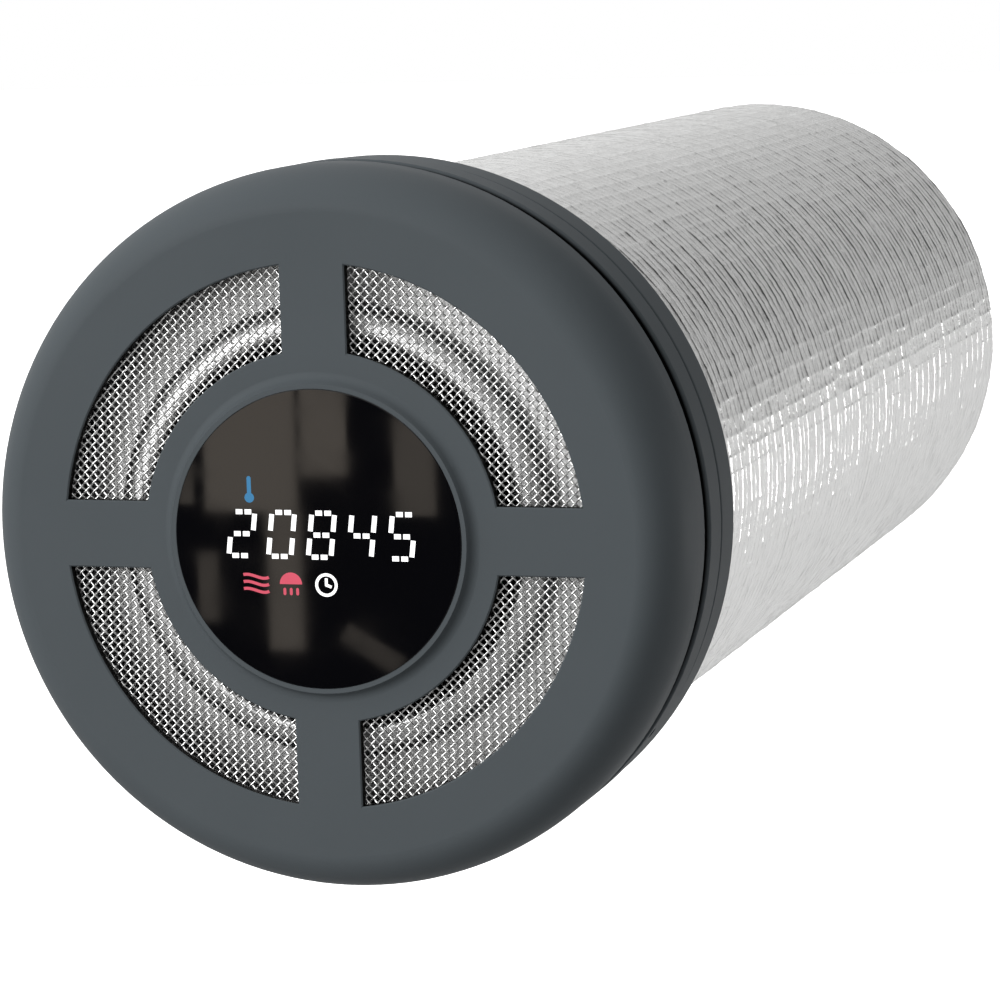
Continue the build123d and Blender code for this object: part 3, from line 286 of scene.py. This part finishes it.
def display_glass(name, colour):
    """Polished black cover glass with a trace of dust and wiping marks."""
    material, tree, shader = new_material(name)
    place = tree.position()
    dust = tree.span(tree.noise(place, 0.5, detail=4.0, roughness=0.7), 0.62, 0.8)
    wipe = tree.noise(place, 22.0, detail=2.0, distortion=0.8)
    tree.put(shader.inputs["Base Color"], tree.blend(dust, shade(colour, 1.0), (0.012, 0.012, 0.013, 1.0)))
    tree.put(shader.inputs["Roughness"], tree.span(wipe, 0.3, 0.7, 0.02, 0.045))
    shader.inputs["IOR"].default_value = 1.5
    return material


def lit_mark(name, colour, glow):
    """Light guide behind dark glass, with slightly uneven light."""
    material, tree, shader = new_material(name)
    patch = tree.noise(tree.position(), 2.5, detail=2.0)
    tree.put(shader.inputs["Base Color"], tree.blend(patch, shade(colour, 0.08), shade(colour, 0.1)))
    tree.put(shader.inputs["Emission Color"], tree.blend(patch, shade(colour, 0.92), shade(colour, 1.05)))
    shader.inputs["Emission Strength"].default_value = glow
    shader.inputs["Roughness"].default_value = 0.3
    return material


def crinkled_foil(name, colour, roughness, crinkle, depth):
    """Aluminium foil with sharp creases at two scales and a slightly cloudy tone."""
    material, tree, shader = new_material(name)
    place = tree.turned()
    bent = tree.add("ShaderNodeVectorMath", {
        0: place,
        1: tree.add("ShaderNodeTexNoise", {"Vector": place, "Scale": 0.22, "Detail": 2.0}).outputs["Color"],
    }, operation="ADD").outputs[0]
    facets = tree.cells(bent, crinkle)
    fine = tree.noise(place, crinkle * 0.28, detail=4.0, roughness=0.65)
    cloud = tree.noise(place, 20.0, detail=3.0)
    normal = tree.bump(facets, depth)
    normal = tree.bump(fine, depth * 0.35, normal=normal)
    tree.put(shader.inputs["Base Color"], tree.blend(cloud, shade(colour, 0.93), shade(colour, 1.04)))
    tree.put(shader.inputs["Roughness"], tree.span(fine, 0.35, 0.65, roughness * 0.7, roughness * 1.4))
    tree.put(shader.inputs["Normal"], normal)
    shader.inputs["Metallic"].default_value = 1.0
    return material


MATERIALS = {
    # the hood's plastic gets painted shade on its window walls, slot and seam
    "cover_plastic": moulded_plastic(
        "cover_plastic", (0.096, 0.11, 0.119), 0.48, 0.35, 0.012, gloss=0.05, painted_groove_shade=True
    ),
    "light_box": moulded_plastic("light_box", (0.6, 0.6, 0.58), 0.5, 0.5, 0.02),
    "clamp_plastic": moulded_plastic("clamp_plastic", (0.02, 0.02, 0.022), 0.45, 0.4, 0.02),
    "module_case": moulded_plastic("module_case", (0.02, 0.02, 0.024), 0.55, 0.7, 0.04),
    "chip_black": moulded_plastic("chip_black", (0.015, 0.015, 0.016), 0.5, 0.3, 0.01),
    "terminal_plastic": moulded_plastic("terminal_plastic", (0.62, 0.63, 0.6), 0.45, 0.5, 0.02),
    "fan_plastic": moulded_plastic("fan_plastic", (0.018, 0.018, 0.02), 0.4, 0.6, 0.02),
    "end_plastic": moulded_plastic("end_plastic", (0.55, 0.55, 0.53), 0.5, 0.6, 0.03),
    "pipe_plastic": moulded_plastic("pipe_plastic", (0.45, 0.46, 0.47), 0.42, 0.8, 0.02),
    "guard_steel": moulded_plastic("guard_steel", (0.03, 0.03, 0.032), 0.38, 0.5, 0.03),
    "rubber": moulded_plastic("rubber", (0.012, 0.012, 0.012), 0.7, 0.5, 0.02),
    "foam_rubber": cell_foam("foam_rubber", (0.02, 0.02, 0.02), 0.8, 0.15),
    "insulation_foam": cell_foam("insulation_foam", (0.42, 0.42, 0.41), 1.6, 0.25),
    "board": circuit_board("board", (0.01, 0.09, 0.035)),
    "black_glass": display_glass("black_glass", (0.003, 0.003, 0.004)),
    "lit_white": lit_mark("lit_white", (1.0, 1.0, 1.0), 1.5),
    "lit_pink": lit_mark("lit_pink", (0.72, 0.1, 0.155), 0.95),
    "lit_blue": lit_mark("lit_blue", (0.045, 0.22, 0.43), 0.95),
    "screw_steel": plated_metal("screw_steel", (0.56, 0.56, 0.57), 0.3, 0.5, 0.01),
    "contact_brass": plated_metal("contact_brass", (0.8, 0.6, 0.25), 0.22, 0.4, 0.005),
    "mesh_steel": plated_metal("mesh_steel", (0.92, 0.92, 0.91), 0.28, 0.3, 0.01),
    "magnet": plated_metal("magnet", (0.66, 0.65, 0.62), 0.16, 0.8, 0.005),
    "ferrite": plated_metal("ferrite", (0.06, 0.06, 0.065), 0.5, 0.4, 0.02),
    "stator_steel": plated_metal("stator_steel", (0.4, 0.37, 0.34), 0.42, 0.35, 0.03),
    "heater_steel": plated_metal("heater_steel", (0.4, 0.37, 0.34), 0.35, 0.6, 0.01),
    "copper": plated_metal("copper", (0.86, 0.42, 0.26), 0.28, 0.9, 0.02),
    "bell_aluminium": turned_metal("bell_aluminium", (0.95, 0.95, 0.95), 0.4, 0.5, 0.006),
    "bearing_steel": turned_metal("bearing_steel", (0.62, 0.62, 0.63), 0.15, 0.2, 0.003),
    "shaft_steel": turned_metal("shaft_steel", (0.6, 0.6, 0.6), 0.2, 0.2, 0.003),
    "foil": crinkled_foil("foil", (0.91, 0.91, 0.9), 0.2, 2.4, 0.1),
    "tape": crinkled_foil("tape", (0.84, 0.84, 0.84), 0.26, 9.0, 0.12),
}


def clothe(piece, slot):
    """Gives a piece or a CAD node the material of its slot."""
    piece.data.materials.clear()
    piece.data.materials.append(MATERIALS[slot])


for row in frame["record"]["subparts"]:
    clothe(frame["nodes"][row["node"]], row["material_slot"])


# ---------------------------------------------------------------- meshes
def new_piece(name, points, faces, slot, body, node):
    """A smooth mesh piece from points in millimetres. It rides on a body and stands for a CAD node."""
    mesh = bpy.data.meshes.new(name)
    mesh.from_pydata((np.asarray(points) * MM).tolist(), [], faces)
    mesh.shade_smooth()
    mesh.update()
    piece = bpy.data.objects.new(name, mesh)
    bpy.context.collection.objects.link(piece)
    clothe(piece, slot)
    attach(piece, body)
    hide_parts(node)
    return piece


def wrapped_noise(seed, around, along, cells_around, cells_along):
    """Smooth noise from -1 to 1 over around and along, each from 0 to 1. It joins up round the duct."""
    values = np.random.RandomState(seed).uniform(-1.0, 1.0, (cells_around, cells_along + 2))
    column = around * cells_around
    row = along * cells_along
    i = np.floor(column).astype(int)
    j = np.floor(row).astype(int)
    u = column - i
    v = row - j
    u = u * u * (3.0 - 2.0 * u)
    v = v * v * (3.0 - 2.0 * v)
    here, after = i % cells_around, (i + 1) % cells_around
    near = values[here, j] * (1.0 - u) + values[after, j] * u
    far = values[here, j + 1] * (1.0 - u) + values[after, j + 1] * u
    return near * (1.0 - v) + far * v


def nearest_thread(value, pitch):
    """Distance to the nearest thread, and that thread's number."""
    number = np.round(value / pitch)
    return value - number * pitch, number


def foil_relief(around, depth):
    """Height of the foil over its reinforcing threads, in mm. around is 0 to 1 and depth is in mm."""
    along = depth / FOIL_LENGTH
    round_pitch = FOIL_LENGTH / THREAD_ROUNDS
    wander = 0.35 * wrapped_noise(3, around, along, 40, THREAD_ROUNDS)
    offset, number = nearest_thread(depth + wander, round_pitch)
    strength = np.where(number % 2 == 0, 1.0, 0.55)
    strength = strength * (0.8 + 0.35 * wrapped_noise(5, around, along, 160, THREAD_ROUNDS))
    relief = RIDGE_HEIGHT * strength * np.exp(-((offset / RIDGE_WIDTH) ** 2))
    arc = 2.0 * math.pi * FOIL_RADIUS * around
    arc_pitch = 2.0 * math.pi * FOIL_RADIUS / THREAD_LENGTHS
    sway = 0.4 * wrapped_noise(7, around, along, THREAD_LENGTHS, 30)
    offset, number = nearest_thread(arc + sway, arc_pitch)
    strength = 0.75 + 0.4 * wrapped_noise(11, around, along, THREAD_LENGTHS, 60)
    relief = relief + LENGTH_RIDGE_HEIGHT * strength * np.exp(-((offset / RIDGE_WIDTH) ** 2))
    relief = relief + PUCKER * 0.5 * wrapped_noise(13, around, along, THREAD_LENGTHS, THREAD_ROUNDS)
    relief = relief + CRINKLE * wrapped_noise(17, around, along, 2 * THREAD_LENGTHS, 2 * THREAD_ROUNDS)
    return relief


def stations(count, offsets, low, high):
    """Sample places from low to high: several close to each thread, at the offsets given in pitches."""
    places = {low, high}
    for number in range(count + 1):
        for offset in offsets:
            place = (number + offset) / count
            if low < place < high:
                places.add(place)
    return np.array(sorted(places))


def shell_points(angles, depths, radii):
    """Points on rows of the duct's surface: one row per depth."""
    x = radii * np.cos(angles)[None, :]
    z = radii * np.sin(angles)[None, :]
    y = np.broadcast_to(depths[:, None], x.shape)
    return np.stack((x, y, z), axis=-1).reshape(-1, 3)


def foil_tube(index):
    """One length of the foil wrap: a closed thin tube, embossed by the threads under it."""
    turns = stations(THREAD_LENGTHS, LENGTH_OFFSETS, 0.0, 1.0)[:-1]
    low, high = index / FOIL_TUBES, (index + 1) / FOIL_TUBES
    depths = stations(THREAD_ROUNDS, RIDGE_OFFSETS + (0.34,), low, high) * FOIL_LENGTH
    around, depth = np.meshgrid(turns, depths)
    angles = 2.0 * math.pi * turns
    outer = shell_points(angles, depths, FOIL_RADIUS + foil_relief(around, depth))
    lining = shell_points(angles, depths[[0, -1]], np.full((2, len(turns)), FOIL_LINING))
    columns, rows = len(turns), len(depths)
    faces = []
    for row in range(rows - 1):
        for column in range(columns):
            after = (column + 1) % columns
            faces.append((row * columns + column, (row + 1) * columns + column,
                          (row + 1) * columns + after, row * columns + after))
    first, last = rows * columns, (rows + 1) * columns
    top = (rows - 1) * columns
    for column in range(columns):
        after = (column + 1) % columns
        faces.append((column, after, first + after, first + column))
        faces.append((top + after, top + column, last + column, last + after))
        faces.append((first + column, first + after, last + after, last + column))
    points = np.vstack((outer, lining))
    return new_piece(f"foil_wrap_{index + 1}", points, faces, "foil", "duct_unit", "foil_jacket")


def seam_tape():
    """Aluminium tape over the wrap's lengthwise seam: a closed strip that follows the threads softly."""
    low, high = (angle / 360.0 for angle in TAPE_ANGLES)
    columns, rows = 40, 6 * THREAD_ROUNDS
    turns = np.linspace(low, high, columns)
    depths = np.linspace(0.0, FOIL_LENGTH, rows)
    around, depth = np.meshgrid(turns, depths)
    top = FOIL_RADIUS + TAPE_LIFT + TAPE_FOLLOW * foil_relief(around, depth)
    angles = 2.0 * math.pi * turns
    bottom = np.full(top.shape, TAPE_UNDERSIDE)
    points = np.vstack((shell_points(angles, depths, top), shell_points(angles, depths, bottom)))
    under = rows * columns
    faces = []
    for row in range(rows - 1):
        for column in range(columns - 1):
            here = row * columns + column
            faces.append((here, here + columns, here + columns + 1, here + 1))
            below = under + here
            faces.append((below, below + 1, below + columns + 1, below + columns))
    border = list(range(columns))
    border += [row * columns + columns - 1 for row in range(1, rows)]
    border += [(rows - 1) * columns + column for column in reversed(range(columns - 1))]
    border += [row * columns for row in reversed(range(1, rows - 1))]
    for here, after in zip(border, border[1:] + border[:1]):
        faces.append((here, after, under + after, under + here))
    return new_piece("seam_tape_relief", points, faces, "tape", "duct_unit", "seam_tape")


def wire_tube(centres, across, points, faces):
    """Adds one closed six-sided wire that follows its centre line."""
    centres = np.array(centres)
    tangents = np.gradient(centres, axis=0)
    tangents /= np.linalg.norm(tangents, axis=1)[:, None]
    sides = np.array(across)[None, :]
    fronts = np.cross(tangents, sides)
    start = len(points)
    for centre, front in zip(centres, fronts):
        for side in range(WIRE_SIDES):
            angle = 2.0 * math.pi * side / WIRE_SIDES
            points.append(centre + WIRE / 2 * (math.cos(angle) * sides[0] + math.sin(angle) * front))
    for ring in range(len(centres) - 1):
        for side in range(WIRE_SIDES):
            after = (side + 1) % WIRE_SIDES
            low = start + ring * WIRE_SIDES
            high = low + WIRE_SIDES
            faces.append((low + side, low + after, high + after, high + side))
    faces.append(tuple(start + side for side in reversed(range(WIRE_SIDES))))
    faces.append(tuple(len(points) - WIRE_SIDES + side for side in range(WIRE_SIDES)))


def weave_quarter(index, plane):
    """Woven wire in one quarter of the intake ring. Wires run both ways at 45 degrees, over and under."""
    sign_x = 1 if index in (0, 3) else -1
    sign_z = 1 if index in (0, 1) else -1
    diagonal = math.sqrt(0.5)
    step = WEAVE_PITCH / WEAVE_STEPS
    reach = int(WEAVE_OUTER / step) + 1
    travel = np.arange(-reach, reach + 1) * step
    points, faces = [], []
    wires = int(WEAVE_OUTER / WEAVE_PITCH) + 1
    for along, across, over in (((1, 1), (-1, 1), 1), ((1, -1), (1, 1), -1)):
        for number in range(-wires, wires + 1):
            x = diagonal * (along[0] * travel + across[0] * number * WEAVE_PITCH)
            z = diagonal * (along[1] * travel + across[1] * number * WEAVE_PITCH)
            wave = over * WIRE_WAVE * np.cos(math.pi * (travel / WEAVE_PITCH + number))
            radius = np.hypot(x, z)
            inside = (radius > WEAVE_INNER) & (radius < WEAVE_OUTER)
            inside &= (x * sign_x >= 0) & (z * sign_z >= 0)
            edges = np.flatnonzero(np.diff(np.concatenate(([0], inside.astype(int), [0]))))
            for low, high in edges.reshape(-1, 2):
                if high - low < 3:
                    continue
                centres = np.stack((x[low:high], plane + wave[low:high], z[low:high]), axis=-1)
                side = (diagonal * across[0], 0.0, diagonal * across[1])
                wire_tube(centres, side, points, faces)
    return new_piece(f"mesh_weave_{index + 1}", points, faces, "mesh_steel", "cover", "intake_mesh")


for tube in range(FOIL_TUBES):
    foil_tube(tube)
seam_tape()

mesh_low, mesh_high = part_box("intake_mesh")
mesh_plane = (mesh_low.y + mesh_high.y) / 2 / MM
for quarter in range(4):
    weave_quarter(quarter, mesh_plane)


# ---------------------------------------------------------------- stage
FLOOR_HEIGHT = -0.62
FLOOR_SIZE = 40.0
FLOOR_SHADES = ((0.3, 0.3, 0.3, 1.0), (0.95, 0.95, 0.95, 1.0))


def floor():
    """Pale floor that fades into the white surroundings."""
    mesh = bpy.data.meshes.new("floor")
    half = FLOOR_SIZE / 2
    corners = ((-half, -half), (half, -half), (half, half), (-half, half))
    mesh.from_pydata([(x, y, FLOOR_HEIGHT) for x, y in corners], [], [(0, 1, 2, 3)])
    piece = bpy.data.objects.new("floor", mesh)
    bpy.context.collection.objects.link(piece)
    material, tree, shader = new_material("floor_white")
    depth = tree.add("ShaderNodeSeparateXYZ", {0: tree.position()}).outputs[1]
    near, far = FLOOR_SHADES
    tree.put(shader.inputs["Base Color"], tree.blend(tree.span(depth, -300.0, 900.0), near, far))
    shader.inputs["Roughness"].default_value = 0.9
    shader.inputs["Specular IOR Level"].default_value = 0.1
    shader.inputs["Emission Color"].default_value = (1.0, 1.0, 1.0, 1.0)
    sight = tree.add("ShaderNodeLightPath", {}).outputs["Is Camera Ray"]
    tree.put(shader.inputs["Emission Strength"], sight)
    mesh.materials.append(material)


def black_flag(corner, width, height):
    """Matt black card in front of the object. Only mirror-like surfaces see it."""
    x, y, z = corner
    mesh = bpy.data.meshes.new("black_flag")
    corners = [(x, y, z), (x + width, y, z), (x + width, y, z + height), (x, y, z + height)]
    mesh.from_pydata(corners, [], [(0, 1, 2, 3)])
    card = bpy.data.objects.new("black_flag", mesh)
    bpy.context.collection.objects.link(card)
    material, _, shader = new_material("flag_black")
    shader.inputs["Base Color"].default_value = (0.002, 0.002, 0.002, 1.0)
    shader.inputs["Specular IOR Level"].default_value = 0.0
    mesh.materials.append(material)
    card.visible_camera = False
    card.visible_diffuse = False
    card.visible_shadow = False


def area_light(name, place, target, size, power, colour=(1.0, 1.0, 1.0), glossy_only=False):
    """Rectangular softbox at place that faces target."""
    data = bpy.data.lights.new(name, "AREA")
    data.shape = "RECTANGLE"
    data.size, data.size_y = size
    data.energy = power
    data.color = colour
    lamp = bpy.data.objects.new(name, data)
    lamp.location = place
    lamp.rotation_mode = "QUATERNION"
    lamp.rotation_quaternion = (Vector(target) - Vector(place)).to_track_quat("-Z", "Y")
    lamp.visible_camera = False
    if glossy_only:
        lamp.visible_diffuse = False
    bpy.context.collection.objects.link(lamp)
    return lamp


RADIANCE = 0.85
SURROUNDINGS = (
    # direction, cosines where the patch begins and where it is full, brightness there
    ((0.62, 0.58, 0.45), 0.78, 0.97, 0.04),
    ((0.25, 0.93, 0.30), 0.85, 0.96, 0.60),
    ((0.90, -0.42, -0.05), 0.45, 0.85, 0.08),
)


def studio_world():
    """Soft white surroundings with a few darker quarters, which give the metal its contrast."""
    world = bpy.data.worlds.new("studio")
    bpy.context.scene.world = world
    tree = Tree(world)
    background = tree.nodes["Background"]
    way = tree.add("ShaderNodeTexCoord", {}).outputs["Generated"]
    value = RADIANCE
    for direction, begins, full, brightness in SURROUNDINGS:
        unit = Vector(direction).normalized()
        facing = tree.add("ShaderNodeVectorMath", {0: way, 1: tuple(unit)}, operation="DOT_PRODUCT")
        patch = tree.span(facing.outputs["Value"], begins, full, 1.0, brightness)
        value = tree.maths("MULTIPLY", value, patch)
    sight = tree.add("ShaderNodeLightPath", {}).outputs["Is Camera Ray"]
    value = tree.maths("MAXIMUM", value, sight)
    grey = tree.add("ShaderNodeCombineColor", {0: value, 1: value, 2: value})
    tree.put(background.inputs["Color"], grey.outputs[0])
    background.inputs["Strength"].default_value = 1.0


floor()
studio_world()
black_flag((-0.95, -1.65, -0.55), 0.75, 0.7)
area_light("key", (-1.6, -2.6, 1.0), (0, 0, 0), (1.6, 1.6), 50.0)
area_light("sparkle", (1.6, 1.55, -0.25), (0.1, 0.25, 0), (0.8, 0.5), 6.0, glossy_only=True)
area_light("side_strip", (1.9, 0.75, -0.05), (0.1, -0.05, 0), (0.12, 0.8), 1.2, glossy_only=True)

# dim room-coloured panels that the display's glass mirrors
PANEL_PLANE = -1.6
PANEL_GLOW = 1.5
PANEL_COLOUR = (1.0, 0.88, 0.75)
PANELS = (
    # x and z of the reflection on the glass, its width and height in mm, its turn in degrees; strength
    ((-20.2, 27.0), (29.0, 38.0), 0.0, 1.0),
    ((-10.4, -12.7), (10.8, 41.2), 0.0, 0.9),
    ((3.0, 32.5), (14.2, 27.0), 0.0, 1.0),
    ((30.9, 22.3), (12.6, 29.3), 0.0, 0.7),
    ((-34.7, -14.7), (6.4, 20.9), 0.0, 0.6),
    ((-40.8, 16.7), (4.7, 13.5), 0.0, 0.6),
    ((16.2, -32.2), (20.0, 6.0), -31.0, 0.5),
)


# ---------------------------------------------------------------- camera
CAMERA_AZIMUTH = math.radians(20.46)
CAMERA_ELEVATION = math.radians(8.85)
CAMERA_ROLL = math.radians(-1.7)
CAMERA_DISTANCE = 1.1122
CAMERA_LENS = 136.0
AIM_RIGHT = 0.0532
AIM_UP = 0.0093

cover_low, cover_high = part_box("front_cover")
face_centre = Vector(((cover_low.x + cover_high.x) / 2, cover_low.y, (cover_low.z + cover_high.z) / 2))
back = Vector((
    math.sin(CAMERA_AZIMUTH) * math.cos(CAMERA_ELEVATION),
    -math.cos(CAMERA_AZIMUTH) * math.cos(CAMERA_ELEVATION),
    math.sin(CAMERA_ELEVATION),
))
right = Vector((math.cos(CAMERA_AZIMUTH), math.sin(CAMERA_AZIMUTH), 0.0))
up = back.cross(right)
eye = face_centre + back * CAMERA_DISTANCE
aim = face_centre + right * AIM_RIGHT + up * AIM_UP
camera = bpy.data.objects.new("camera", bpy.data.cameras.new("camera"))
camera.data.lens = CAMERA_LENS
camera.data.sensor_width = 36.0
camera.data.clip_start = 0.05
camera.data.clip_end = 100.0
camera.location = eye
camera.rotation_mode = "QUATERNION"
roll = Quaternion((0.0, 0.0, 1.0), CAMERA_ROLL)
camera.rotation_quaternion = (aim - eye).to_track_quat("-Z", "Y") @ roll
bpy.context.collection.objects.link(camera)
bpy.context.scene.camera = camera
bpy.context.scene.view_settings.view_transform = "Standard"


def reflection_panels():
    """Places each dim panel so that the camera sees it mirrored at its spot on the glass."""
    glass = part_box("display_glass")[0].y
    mirrored = Vector((eye.x, 2 * glass - eye.y, eye.z))
    for number, (spot, size, turn, strength) in enumerate(PANELS):
        through = Vector((spot[0] * MM, glass, spot[1] * MM))
        scale = (PANEL_PLANE - mirrored.y) / (through.y - mirrored.y)
        place = mirrored + (through - mirrored) * scale
        area = (size[0] * MM * scale, size[1] * MM * scale)
        power = PANEL_GLOW * strength * math.pi * area[0] * area[1]
        target = place + Vector((0.0, 1.0, 0.0))
        name = f"room_panel_{number + 1}"
        lamp = area_light(name, place, target, area, power, colour=PANEL_COLOUR, glossy_only=True)
        spin = Quaternion((0.0, 0.0, 1.0), math.radians(turn))
        lamp.rotation_quaternion = lamp.rotation_quaternion @ spin


reflection_panels()
